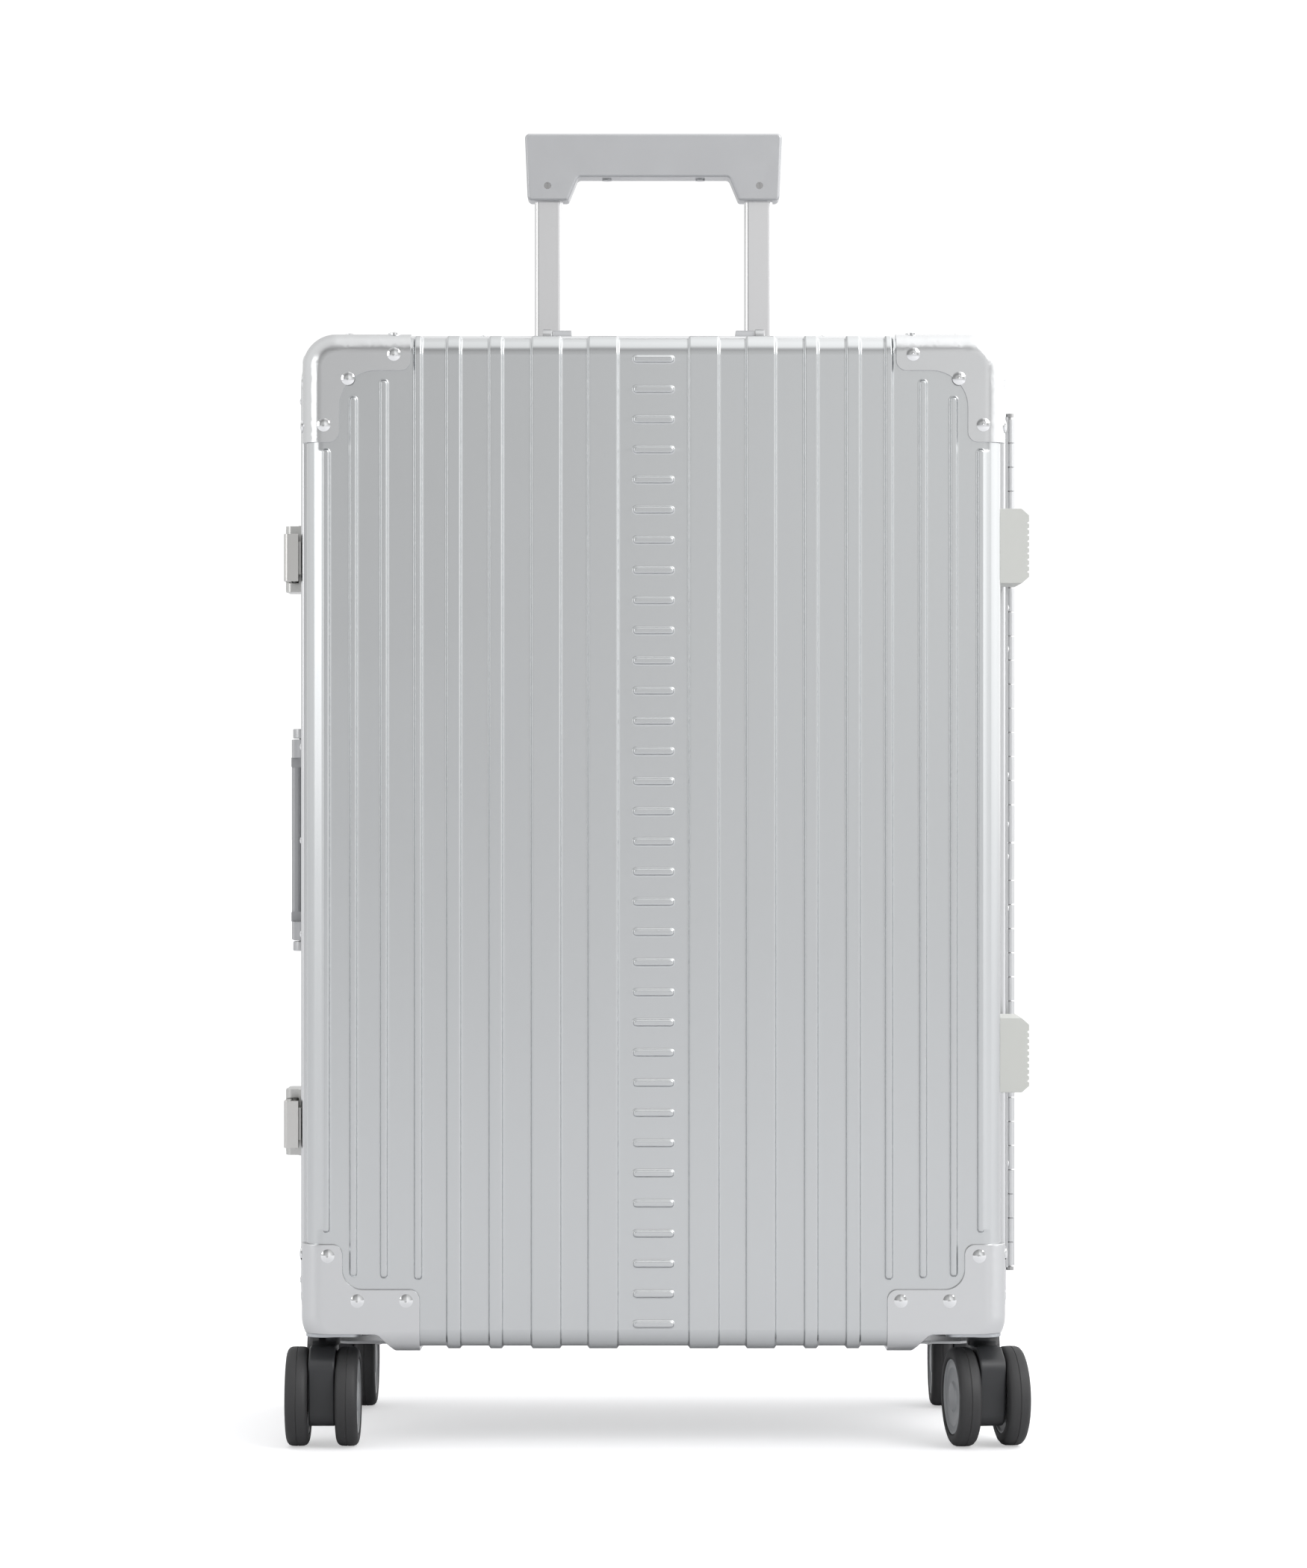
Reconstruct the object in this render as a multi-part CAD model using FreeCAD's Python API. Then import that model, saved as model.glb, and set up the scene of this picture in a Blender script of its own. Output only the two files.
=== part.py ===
import FreeCAD, Part
import math
import os

V = FreeCAD.Vector
os.makedirs("parts", exist_ok=True)

# Frame: +X towards the hinge side, -Y the front face, +Y the trolley side, +Z up, Z 0 on the floor.
# The two half cases meet at Y 0.

# case body
halfWidth = 207.0
bottomZ = 61.7
topZ = 663.0
frontY = -125.0
lean = 0.04
cornerR = 18.0
edgeR = 10.5
sheet = 1.5
ribHeight = 1.6
ribEndY = -18.0
louvreHeight = 1.2
louvreCount = 33
louvrePitch = 17.94
louvreTopZ = 649.7

# frame extrusions at the parting line
partingGap = 0.3
frameDepth = 16.0
shellEdgeY = 8.0
frameHalf = 218.0
frameTop = 674.0
frameBottom = 50.7
frameR = 29.0
frameInner = 12.0
tongueHalf = 213.5
tongueWidth = 2.0
tongueReach = 3.0
grooveClear = 0.7
grooveDepth = 6.5
sealHeight = 2.6

# corner guards
guardProud = 2.0
guardFit = 0.05
lowGuardProud = 2.5
guardArm = 62.6
guardArmWidth = 20.0
lowArmReach = 68.0
lowArmHeight = 34.7
lowPostWidth = 22.0
lowPostReach = 61.5
rivetR = 4.0
rivetRise = 1.5
rivetRim = 0.4

# caster pockets and casters
pocketCeiling = 69.7
pocketInX = 162.0
pocketEndY = -42.0
casterX = 198.0
casterY = 91.0
casterTrail = 9.0
wheelR = 29.7
wheelWidth = 13.2
wheelInner = 8.3
forkHalf = 7.9
axleR = 3.0
axleFit = 0.05
plateThick = 3.2
bossThick = 1.5
neckR = 9.5
stemR = 4.0
stemFit = 0.06
swivelGap = 0.3
neckGap = 0.5
frontRightTurn = 9.0

# hinge
hingeX = 221.4
knuckleR = 3.0
pinR = 1.0
pinFit = 0.05
leafThick = 1.2
knuckleGap = 0.4
hingeLow = 98.0
hingeHigh = 624.0

# latches
latchZ = [537.0, 186.5]
latchHalf = 20.5
latchProud = 12.0
leverPivotX = -224.5
leverPivotY = 11.0
trunnionR = 1.5
trunnionFit = 0.06
dialR = 5.5
dialPitch = 8.0

# carry handles
blockFar = 69.4
blockNear = 63.5
handleTop = 681.6
pivotY = 24.0
pivotZ = 675.5
pivotR = 2.5
pivotFit = 0.06
bailReach = 64.0
barLow = 671.4
barHigh = 677.6
sideBarRise = 6.6
sideHandleZ = 362.0

# trolley
tubeX = 67.3
tubeY = 101.0
innerWide = 18.2
innerDeep = 11.0
tubeWall = 1.2
tubeFit = 0.3
gripTop = 814.0
gripUnder = 786.0
gripLegBottom = 771.0
gripHalf = 82.5
gripDeep = 22.0
bezelTop = 669.0
buttonTravel = 3.5


def save(name, shape):
    shape.exportStep("parts/" + name + ".step")
    box = shape.BoundBox
    print(name, len(shape.Solids), round(shape.Volume, 1), shape.isValid(),
          [round(v, 1) for v in (box.XMin, box.XMax, box.YMin, box.YMax, box.ZMin, box.ZMax)])


def box(x0, x1, y0, y1, z0, z1):
    return Part.makeBox(x1 - x0, y1 - y0, z1 - z0, V(x0, y0, z0))


def rod(radius, start, end):
    line = V(*end) - V(*start)
    return Part.makeCylinder(radius, line.Length, V(*start), line)


def flipY(shape):
    return shape.mirror(V(0, 0, 0), V(0, 1, 0))


def flipX(shape):
    return shape.mirror(V(0, 0, 0), V(1, 0, 0))


def group(shapes):
    solids = []
    for shape in shapes:
        solids.extend(shape.Solids)
    return Part.makeCompound(solids)


def profile(points, place):
    """Face from (u, v, corner radius) points, laid out in space by place(u, v)."""
    edges = []
    count = len(points)
    arcs = []
    for i in range(count):
        u, v, r = points[i]
        a = points[i - 1]
        b = points[(i + 1) % count]
        corner = V(u, v, 0)
        if r <= 0:
            arcs.append((corner, corner, corner))
            continue
        toA = (V(a[0], a[1], 0) - corner).normalize()
        toB = (V(b[0], b[1], 0) - corner).normalize()
        half = toA.getAngle(toB) / 2
        middle = (toA + toB).normalize()
        run = r / math.tan(half)
        arcs.append((corner + toA * run, corner + middle * (r / math.sin(half) - r), corner + toB * run))
    for i in range(count):
        start, mid, end = [place(p.x, p.y) for p in arcs[i]]
        after = place(arcs[(i + 1) % count][0].x, arcs[(i + 1) % count][0].y)
        if points[i][2] > 0:
            edges.append(Part.Arc(start, mid, end).toShape())
        if (after - end).Length > 1e-6:
            edges.append(Part.makeLine(end, after))
    return Part.Face(Part.Wire(edges))


def roundedRect(half, z0, z1, r, y):
    points = [(-half, z0, r), (half, z0, r), (half, z1, r), (-half, z1, r)]
    return profile(points, lambda u, v: V(u, y, v))


def slab(half, z0, z1, r, y0, y1):
    return roundedRect(half, z0, z1, r, y0).extrude(V(0, y1 - y0, 0))


def caseSolid(grow, endY, edge):
    """Solid of the front half, grown outwards by grow, with its front edge rounded."""
    startY = frontY - grow
    wires = []
    for y in (startY, endY):
        out = grow + lean * (y - frontY)
        face = roundedRect(halfWidth + out, bottomZ - out, topZ + out, cornerR + grow, y)
        wires.append(face.OuterWire)
    solid = Part.makeLoft(wires, True, True)
    rim = []
    for e in solid.Edges:
        if max(abs(v.Y - startY) for v in e.Vertexes) < 1e-4:
            rim.append(e)
    return solid.makeFillet(edge, rim)


def pockets(ceiling, off):
    """Both caster pockets of the front half as solids to cut away."""
    x = pocketInX - off
    points = [(-260, 30, 0), (-260, ceiling, 0), (-x, ceiling, 4), (14 - x, ceiling - 14, 0), (14 - x, 30, 0)]
    left = profile(points, lambda u, v: V(u, -150, v)).extrude(V(0, pocketEndY + off + 150, 0))
    return left.fuse(flipX(left))


# pressed half shell

ribs = [(140.0, 5.8), (118.8, 9.8), (93.8, 9.5), (63.9, 19.0), (30.0, 19.3)]
shortRibs = [(194.7, 5.3, 129.7, 596.8), (178.5, 5.5, 103.5, 628.0), (160.3, 5.5, 102.6, 638.0)]
shellPocket = pocketCeiling + lowGuardProud

wholeCase = caseSolid(0, -shellEdgeY, edgeR)
smooth = wholeCase.cut(pockets(shellPocket, 0))
cavity = caseSolid(-sheet, 1.0, edgeR - sheet).cut(pockets(shellPocket + sheet, sheet))
ribSkin = caseSolid(ribHeight, -shellEdgeY, edgeR + ribHeight).cut(pockets(shellPocket - ribHeight, -ribHeight))


def pill(x, z, halfLong, halfShort, rise, upright):
    """Raised pill on the front face."""
    run = halfLong - halfShort
    du, dv = (0, run) if upright else (run, 0)
    wide = halfShort
    body = box(x - du - (wide if upright else 0), x + du + (wide if upright else 0), frontY - rise, frontY + 0.6,
               z - dv - (0 if upright else wide), z + dv + (0 if upright else wide))
    for sign in (-1, 1):
        cx = x + sign * du
        cz = z + sign * dv
        body = body.fuse(rod(halfShort, (cx, frontY - rise, cz), (cx, frontY + 0.6, cz)))
    return body


raised = []
for x, width in ribs:
    low = 101.7 if x == 140.0 else 30.0
    strip = box(x - width / 2, x + width / 2, -140, ribEndY, low, 700).common(ribSkin)
    raised.extend([strip, flipX(strip)])
for x, width, low, high in shortRibs:
    band = pill(x, (low + high) / 2, (high - low) / 2, width / 2, ribHeight, True)
    raised.extend([band, flipX(band)])
for i in range(louvreCount):
    raised.append(pill(0, louvreTopZ - i * louvrePitch, 12.7, 2.6, louvreHeight, False))

envelope = smooth.multiFuse(raised)
frontShell = envelope.cut(cavity)
backEnvelope = flipY(envelope)
backShell = flipY(frontShell)

# frame extrusions


def ring(halfOut, halfIn, y0, y1):
    out = frameHalf - halfOut
    inn = frameHalf - halfIn
    outer = slab(halfOut, frameBottom + out, frameTop - out, frameR - out, y0, y1)
    inner = slab(halfIn, frameBottom + inn, frameTop - inn, frameR - inn, y0 - 1, y1 + 1)
    return outer.cut(inner)


gap = partingGap / 2
frameBlock = slab(frameHalf, frameBottom, frameTop, frameR, -frameDepth, -gap)
rim = [e for e in frameBlock.Edges if max(abs(v.Y + frameDepth) for v in e.Vertexes) < 1e-4]
frameBlock = frameBlock.makeFillet(2.5, rim)
mouth = slab(frameHalf - frameInner, frameBottom + frameInner, frameTop - frameInner, frameR - frameInner,
             -frameDepth - 1, 1)
frameBase = frameBlock.cut(mouth).cut(frontShell)
tongue = ring(tongueHalf, tongueHalf - tongueWidth, -1.0, tongueReach)
groove = ring(tongueHalf + grooveClear, tongueHalf - tongueWidth - grooveClear, 0, grooveDepth)
frontFrame = frameBase.fuse(tongue)
backFrame = flipY(frameBase).cut(groove)
frameSeal = ring(tongueHalf + grooveClear, tongueHalf - tongueWidth - grooveClear,
                 grooveDepth - sealHeight, grooveDepth)

# linings; the back one stands off the wall over the trolley tubes

liningHalf = 205.0
liningThick = 1.2
humpHalf = 86.0
humpY = 88.6


def liningSolid(off, endY):
    y0 = frontY + sheet + off
    solid = slab(liningHalf - off, bottomZ + 2.0 + off, topZ - 2.0 - off, 16 - off, y0, endY)
    front = [e for e in solid.Edges if max(abs(v.Y - y0) for v in e.Vertexes) < 1e-4]
    solid = solid.makeFillet(10.0 - off, front)
    return solid.cut(pockets(shellPocket + sheet + 0.3 + off, sheet + 0.3 + off))


lining = liningSolid(0, -frameDepth - 0.3)
liningHollow = liningSolid(liningThick, 5.0)
hump = box(-humpHalf, humpHalf, -130, -humpY, 0, 700)
humpOver = box(-humpHalf - liningThick, humpHalf + liningThick, -130, -humpY + liningThick, 0, 700)
frontLining = lining.cut(liningHollow)
backLining = flipY(lining.cut(hump).cut(liningHollow.cut(humpOver)))

# corner guards


def lShape(reach, width, reach2, width2, bend, place):
    points = [(-30, -30, 0), (reach, -30, 0), (reach, width, 6), (width2, width, bend),
              (width2, reach2, 6), (-30, reach2, 0)]
    return profile(points, place)


def topGuard():
    skin = caseSolid(guardProud, -shellEdgeY, edgeR + guardProud)
    core = caseSolid(guardFit, 3 - shellEdgeY, edgeR + guardFit)
    args = (guardArm, guardArmWidth, guardArm, guardArmWidth, 22)
    onFront = lShape(*args, lambda u, v: V(u - halfWidth, -140, topZ - v)).extrude(V(0, 24, 0))
    onSide = lShape(*args, lambda u, v: V(-240, frontY + u, topZ - v)).extrude(V(44, 0, 0))
    onTop = lShape(*args, lambda u, v: V(u - halfWidth, frontY + v, 652)).extrude(V(0, 0, 40))
    return onFront.multiFuse([onSide, onTop]).common(skin).cut(core), skin


def bottomGuard():
    wholeSkin = caseSolid(lowGuardProud, -shellEdgeY, edgeR + lowGuardProud)
    room = pockets(pocketCeiling, -lowGuardProud)
    args = (lowArmReach, lowArmHeight, lowPostReach, lowPostWidth, 12)
    onFront = lShape(*args, lambda u, v: V(u - halfWidth, -140, bottomZ + v)).extrude(V(0, 24, 0))
    onSide = lShape(*args, lambda u, v: V(-240, frontY + u, bottomZ + v)).extrude(V(44, 0, 0))
    under = box(-240, lowArmReach - halfWidth, -140, frontY + lowArmReach, 40, 76)
    core = caseSolid(0, 3 - shellEdgeY, edgeR)
    walls = onFront.multiFuse([onSide, under]).common(wholeSkin).cut(core).cut(room)
    roof = under.common(wholeCase).common(pockets(shellPocket, 0)).cut(room)
    return walls.fuse(roof), wholeSkin.cut(room)


highGuard, highSkin = topGuard()
lowGuard, lowSkin = bottomGuard()
frontTopGuards = group([highGuard, flipX(highGuard)])
frontBottomGuards = group([lowGuard, flipX(lowGuard)])

# rivets: round heads seated on whatever they hold


def head(point, out, radius, rise, seat):
    """Domed head on a short upright rim."""
    rim = rivetRim * rise
    dome = rise - rim
    size = (radius * radius + dome * dome) / (2 * dome)
    half = math.asin(radius / size) / 2
    shoulder = V(radius, 0, rim)
    crown = V(0, 0, rise)
    curve = Part.Arc(shoulder, V(size * math.sin(half), 0, rise - size + size * math.cos(half)), crown).toShape()
    lines = [Part.makeLine(crown, V(0, 0, -3)), Part.makeLine(V(0, 0, -3), V(radius, 0, -3)),
             Part.makeLine(V(radius, 0, -3), shoulder)]
    solid = Part.Face(Part.Wire([curve] + lines)).revolve(V(0, 0, 0), V(0, 0, 1), 360)
    solid.Placement = FreeCAD.Placement(V(*point), FreeCAD.Rotation(V(0, 0, 1), V(*out)))
    return solid.cut(seat)


def wall(grow, y):
    return halfWidth + grow + lean * (y - frontY)


highSpots = [(52.7, 10.5), (25.4, 24.9), (11.0, 52.5)]
lowSpots = [(13.4, 54.7), (31.0, 28.0), (60.0, 28.0)]
heads = []
for u, v in highSpots:
    heads.append(head((u - halfWidth, frontY - guardProud, topZ - v), (0, -1, 0), rivetR, rivetRise, highSkin))
    y = frontY + u
    heads.append(head((-wall(guardProud, y), y, topZ - v), (-1, 0, 0), rivetR, rivetRise, highSkin))
    y = frontY + v
    heads.append(head((u - halfWidth, y, topZ + wall(guardProud, y) - halfWidth), (0, 0, 1), rivetR, rivetRise,
                      highSkin))
for u, v in lowSpots:
    heads.append(head((u - halfWidth, frontY - lowGuardProud, bottomZ + v), (0, -1, 0), rivetR, rivetRise, lowSkin))
    y = frontY + u
    heads.append(head((-wall(lowGuardProud, y), y, bottomZ + v), (-1, 0, 0), rivetR, rivetRise, lowSkin))
guardHeads = heads + [flipX(h) for h in heads]

frameSeat = slab(frameHalf, frameBottom, frameTop, frameR, -frameDepth, -gap)
frameHeads = []
for z in (90.0, 304.0, 362.0, 420.0, 634.0):
    frameHeads.append(head((-frameHalf, -9, z), (-1, 0, 0), 2.2, 1.1, frameSeat))
for x in (-170.0, -105.0, 105.0, 170.0):
    frameHeads.append(head((x, -9, frameTop), (0, 0, 1), 2.2, 1.1, frameSeat))
    frameHeads.append(head((x, -9, frameBottom), (0, 0, -1), 2.2, 1.1, frameSeat))

leafSeat = box(frameHalf - 8, frameHalf + leafThick, -frameDepth, -3, hingeLow, hingeHigh)
leafHeads = []
for z in (320.0, 352.0, 372.0, 402.6, 242.0, 216.0, 480.5, 506.0, 560.0, 162.0):
    leafHeads.append(head((frameHalf + leafThick, -9.5, z), (1, 0, 0), 2.0, 1.0, leafSeat))

frontRivets = group(guardHeads + frameHeads + leafHeads)
backRivets = flipY(frontRivets)

# piano hinge

knuckles = []
z = hingeLow
for length in [14.62] * 16 + [23.0] * 2 + [14.62] * 16:
    knuckles.append((z, z + length - knuckleGap))
    z += length * (hingeHigh - hingeLow) / (32 * 14.62 + 46.0)
pinHole = rod(pinR + pinFit, (hingeX, 0, hingeLow - 10), (hingeX, 0, hingeHigh + 10))


def leaf(own):
    """Hinge leaf on the front side; own is 0 or 1, for which knuckles it carries."""
    pieces = []
    for i, (low, high) in enumerate(knuckles):
        if i % 2 == own:
            pieces.append(rod(knuckleR, (hingeX, 0, low), (hingeX, 0, high)))
            pieces.append(box(frameHalf, frameHalf + 1.8, -4.2, -gap - 0.05, low, high))
    plate = box(frameHalf, frameHalf + leafThick, -14, -3.5, hingeLow, hingeHigh)
    return plate.multiFuse(pieces).cut(pinHole)


frontLeaf = leaf(0)
backLeaf = flipY(leaf(1))
for low, high in ((hingeLow, 149.0), (574.0, hingeHigh)):
    pad = box(frameHalf, 224.8, 3.8, 14, low + 0.5, high - 0.5)
    edges = [e for e in pad.Edges if abs(e.CenterOfMass.x - 224.8) < 1e-4]
    backLeaf = backLeaf.fuse(pad.makeFillet(1.5, edges))
hingePin = rod(pinR, (hingeX, 0, hingeLow - 1), (hingeX, 0, hingeHigh + 1))
for z in (hingeLow - 3.0, hingeHigh + 1.0):
    hingePin = hingePin.fuse(rod(2.4, (hingeX, 0, z), (hingeX, 0, z + 2.0)))

# side feet

footOut = 226.5


def foot(low, high):
    pitch = (high - low - 8.0) / 10
    points = [(200, low, 0), (222, low, 0), (footOut, low + 4, 0)]
    z = low + 4
    for i in range(9):
        points.append((footOut, z + pitch * (i + 0.6), 0))
        points.append((footOut - 1.1, z + pitch * (i + 0.72), 0))
        points.append((footOut - 1.1, z + pitch * (i + 0.88), 0))
        points.append((footOut, z + pitch * (i + 1), 0))
    points.extend([(footOut, high - 4, 0), (222, high, 0), (200, high, 0)])
    return profile(points, lambda u, v: V(u, -88, v)).extrude(V(0, 52, 0)).cut(envelope)


frontFeet = group([foot(211.0, 256.0), foot(518.0, 563.0)])

# latches on the side away from the hinge

backSolid = backEnvelope.fuse(slab(frameHalf, frameBottom, frameTop, frameR, gap, frameDepth))


def latchBase(z):
    plate = box(-220.5, -210, 1.0, 38.5, z - latchHalf, z + latchHalf)
    corners = [(-210, 17, 0), (-230, 17, 3), (-230, 38.5, 4), (-210, 38.5, 0)]
    housing = profile(corners, lambda u, v: V(u, v, z - latchHalf)).extrude(V(0, 0, latchHalf * 2))
    trim = [e for e in housing.Edges if e.CenterOfMass.x < -225 and abs(abs(e.CenterOfMass.z - z) - latchHalf) < 0.01]
    housing = housing.makeChamfer(1.5, trim)
    body = plate.fuse(housing)
    for sign in (-1, 1):
        low, high = sorted((z + sign * 15.0, z + sign * latchHalf))
        ear = profile([(-212, 5, 0), (-229, 5, 4), (-229, 18, 0), (-212, 18, 0)],
                      lambda u, v: V(u, v, low)).extrude(V(0, 0, high - low))
        body = body.fuse(ear)
    for i in (-1, 0, 1):
        c = z + i * dialPitch
        body = body.cut(box(-240, -219, 20.8, 33.2, c - 2.7, c + 2.7))
    body = body.fuse(rod(1.2, (-225.3, 27, z - 14), (-225.3, 27, z + 14)))
    hole = rod(trunnionR + trunnionFit, (leverPivotX, leverPivotY, z - 19.4), (leverPivotX, leverPivotY, z + 19.4))
    return body.cut(hole).cut(backSolid)


def latchLever(z):
    half = 14.6
    eye = rod(3.6, (leverPivotX, leverPivotY, z - half), (leverPivotX, leverPivotY, z + half))
    points = [(-224.6, 11, 0), (-224.6, -14, 0), (-219.4, -14, 0), (-219.4, -17.2, 0), (-228.6, -17.2, 3),
              (-228.6, 11, 0)]
    blade = profile(points, lambda u, v: V(u, v, z - half)).extrude(V(0, 0, half * 2))
    trunnion = rod(trunnionR, (leverPivotX, leverPivotY, z - 19), (leverPivotX, leverPivotY, z + 19))
    return blade.multiFuse([eye, trunnion])


def dial(z):
    wheel = rod(dialR, (-225.3, 27, z - 2.3), (-225.3, 27, z + 2.3))
    wheel = wheel.cut(rod(1.26, (-225.3, 27, z - 3), (-225.3, 27, z + 3)))
    for i in range(10):
        angle = math.radians(18 + 36 * i)
        x = -225.3 + math.cos(angle) * (dialR + 0.35)
        y = 27 + math.sin(angle) * (dialR + 0.35)
        wheel = wheel.cut(rod(0.75, (x, y, z - 3), (x, y, z + 3)))
    return wheel


keepers = []
for z in latchZ:
    points = [(-217, -12.5, 0), (-223.6, -12.5, 1.5), (-223.6, -3, 1.5), (-217, -3, 0)]
    block = profile(points, lambda u, v: V(u, v, z - 10)).extrude(V(0, 0, 20))
    keepers.append(block.cut(slab(frameHalf, frameBottom, frameTop, frameR, -frameDepth, -gap)))

# carry handles, drawn for the top and turned for the side


def handleBlocks():
    points = [(16.6, 655, 0), (16.6, handleTop, 5), (31.5, handleTop, 5), (33.5, 655, 0)]
    block = profile(points, lambda u, v: V(blockNear, u, v)).extrude(V(blockFar - blockNear, 0, 0))
    block = block.cut(rod(pivotR + pivotFit, (blockNear - 1, pivotY, pivotZ), (blockNear + 4.2, pivotY, pivotZ)))
    return [block, flipX(block)]


def bail(rise, ramp):
    """Folding handle; rise lifts its bar and ramp is how far its shoulders stand over the bar."""
    low = barLow + rise
    high = barHigh + rise
    eye = rod(5.7, (51.5, pivotY, pivotZ), (62.9, pivotY, pivotZ))
    side = [(pivotY, pivotZ - 5.7, 0), (bailReach - 1, low, 2), (bailReach - 1, high, 2),
            (40, 680.6 + rise / 2, 4), (pivotY, pivotZ + 5.7, 0)]
    arm = profile(side, lambda u, v: V(51.5, u, v)).extrude(V(11.4, 0, 0))
    shoulder = profile([(51.6, low, 0), (51.6, high + 2.8, 0), (45.5, high - 0.2, 0), (45.5, low, 0)],
                       lambda u, v: V(u, 42, v)).extrude(V(0, 21, 0))
    pin = rod(pivotR, (60, pivotY, pivotZ), (blockNear + 3.9, pivotY, pivotZ))
    half = arm.multiFuse([eye, shoulder.common(box(40, 60, 42, bailReach, low, high + ramp)), pin])
    bar = profile([(42, low, 2.4), (bailReach, low, 2.4), (bailReach, high, 2.6), (42, high, 2.6)],
                  lambda u, v: V(-52, u, v)).extrude(V(104, 0, 0))
    return bar.multiFuse([half, flipX(half)])


def toSide(shape):
    """Turn a top handle piece onto the side away from the hinge."""
    moved = shape.copy()
    moved.rotate(V(0, 0, 0), V(0, 1, 0), -90)
    moved.translate(V(topZ - halfWidth, 0, sideHandleZ))
    return moved


blocks = handleBlocks()
topBail = bail(0.0, 1.4)
topBlocks = group([b.cut(backEnvelope) for b in blocks])
sideBlocks = group([toSide(b).cut(backEnvelope) for b in blocks])
sideBail = toSide(bail(sideBarRise, 0.1))

# trolley


def tube(wide, deep, low, high, wallThick):
    pair = []
    for sign in (-1, 1):
        x = sign * tubeX
        points = [(x - wide / 2, tubeY - deep / 2, 3), (x + wide / 2, tubeY - deep / 2, 3),
                  (x + wide / 2, tubeY + deep / 2, 3), (x - wide / 2, tubeY + deep / 2, 3)]
        body = profile(points, lambda u, v: V(u, v, low)).extrude(V(0, 0, high - low))
        if wallThick > 0:
            w = wallThick
            r = 3 - w
            points = [(x - wide / 2 + w, tubeY - deep / 2 + w, r), (x + wide / 2 - w, tubeY - deep / 2 + w, r),
                      (x + wide / 2 - w, tubeY + deep / 2 - w, r), (x - wide / 2 + w, tubeY + deep / 2 - w, r)]
            body = body.cut(profile(points, lambda u, v: V(u, v, low - 1)).extrude(V(0, 0, high - low + 2)))
        pair.append(body)
    return group(pair)


step = 2 * (tubeWall + tubeFit)
innerTubes = tube(innerWide, innerDeep, 420.0, 792.0, tubeWall)
midTubes = tube(innerWide + step, innerDeep + step, 300.0, bezelTop + 0.6, tubeWall)
outerWide = innerWide + 2 * step
outerDeep = innerDeep + 2 * step
outerTubes = tube(outerWide, outerDeep, 76.0, bezelTop, tubeWall)
outerFilled = tube(outerWide, outerDeep, 76.0, bezelTop + 5, 0)
shellHole = tube(outerWide + 0.6, outerDeep + 0.6, 640.0, 700.0, 0)
backShell = backShell.cut(shellHole)
bezelPoints = [(-88, 88.0, 8), (88, 88.0, 8), (88, 114.4, 8), (-88, 114.4, 8)]
bezel = profile(bezelPoints, lambda u, v: V(u, v, 655.0)).extrude(V(0, 0, bezelTop - 655.0))
rim = [e for e in bezel.Edges if abs(e.CenterOfMass.z - bezelTop) < 1e-4]
bezel = bezel.makeFillet(2.0, rim).cut(backEnvelope).cut(outerFilled)
bracket = box(-84, 84, 92, 124, 55, 84).common(flipY(cavity)).cut(outerFilled)

gripPoints = [(-gripHalf, gripTop, 3), (-gripHalf + 1.8, gripLegBottom, 3), (-54.6, gripLegBottom, 2),
              (-48.4, gripUnder, 3), (48.4, gripUnder, 3), (54.6, gripLegBottom, 2),
              (gripHalf - 1.8, gripLegBottom, 3), (gripHalf, gripTop, 3)]
grip = profile(gripPoints, lambda u, v: V(u, tubeY - gripDeep / 2, v)).extrude(V(0, gripDeep, 0))
faceEdges = [e for e in grip.Edges if abs(abs(e.CenterOfMass.y - tubeY) - gripDeep / 2) < 1e-4]
grip = grip.makeFillet(1.8, faceEdges)
for x in (-30.0, 30.0):
    grip = grip.fuse(rod(3.0, (x, tubeY, gripUnder - 1.2), (x, tubeY, gripUnder + 1)))
grip = grip.cut(tube(innerWide, innerDeep, 760.0, 792.0, 0))
grip = grip.cut(box(-17, 17, tubeY - 6, tubeY + 6, 799.0, gripTop + 5))
buttonPoints = [(-16.6, tubeY - 5.6, 3), (16.6, tubeY - 5.6, 3), (16.6, tubeY + 5.6, 3), (-16.6, tubeY + 5.6, 3)]
button = profile(buttonPoints, lambda u, v: V(u, v, 799.0 + buttonTravel + 0.4))
button = button.extrude(V(0, 0, gripTop - 0.2 - 799.0 - buttonTravel - 0.4))
screws = []
gripFront = tubeY - gripDeep / 2
for x in (-67.9, 67.9):
    seat = rod(2.3, (x, gripFront - 1, 780.5), (x, tubeY - innerDeep / 2 - 0.4, 780.5))
    grip = grip.cut(seat)
    screw = rod(2.3, (x, gripFront + 0.3, 780.5), (x, tubeY - innerDeep / 2 - 0.4, 780.5))
    screws.append(screw.cut(box(x - 0.4, x + 0.4, gripFront, gripFront + 1.1, 779.0, 782.0)))

# casters


def casterPlate(x, y):
    plateLow = pocketCeiling - plateThick
    points = [(x - 23, y - 22, 6), (x + 23, y - 22, 6), (x + 23, y + 22, 6), (x - 23, y + 22, 6)]
    if x < 0:
        points = [(max(u, -205.5), v, r) for u, v, r in points]
    else:
        points = [(min(u, 205.5), v, r) for u, v, r in points]
    plate = profile(points, lambda u, v: V(u, v, plateLow)).extrude(V(0, 0, plateThick))
    boss = rod(11.0, (x, y, plateLow - bossThick), (x, y, pocketCeiling))
    boss = boss.common(box(-210, 210, y - 30, y + 30, 0, 100))
    bore = rod(stemR + stemFit, (x, y, 50), (x, y, 80))
    return plate.fuse(boss).cut(bore)


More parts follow.
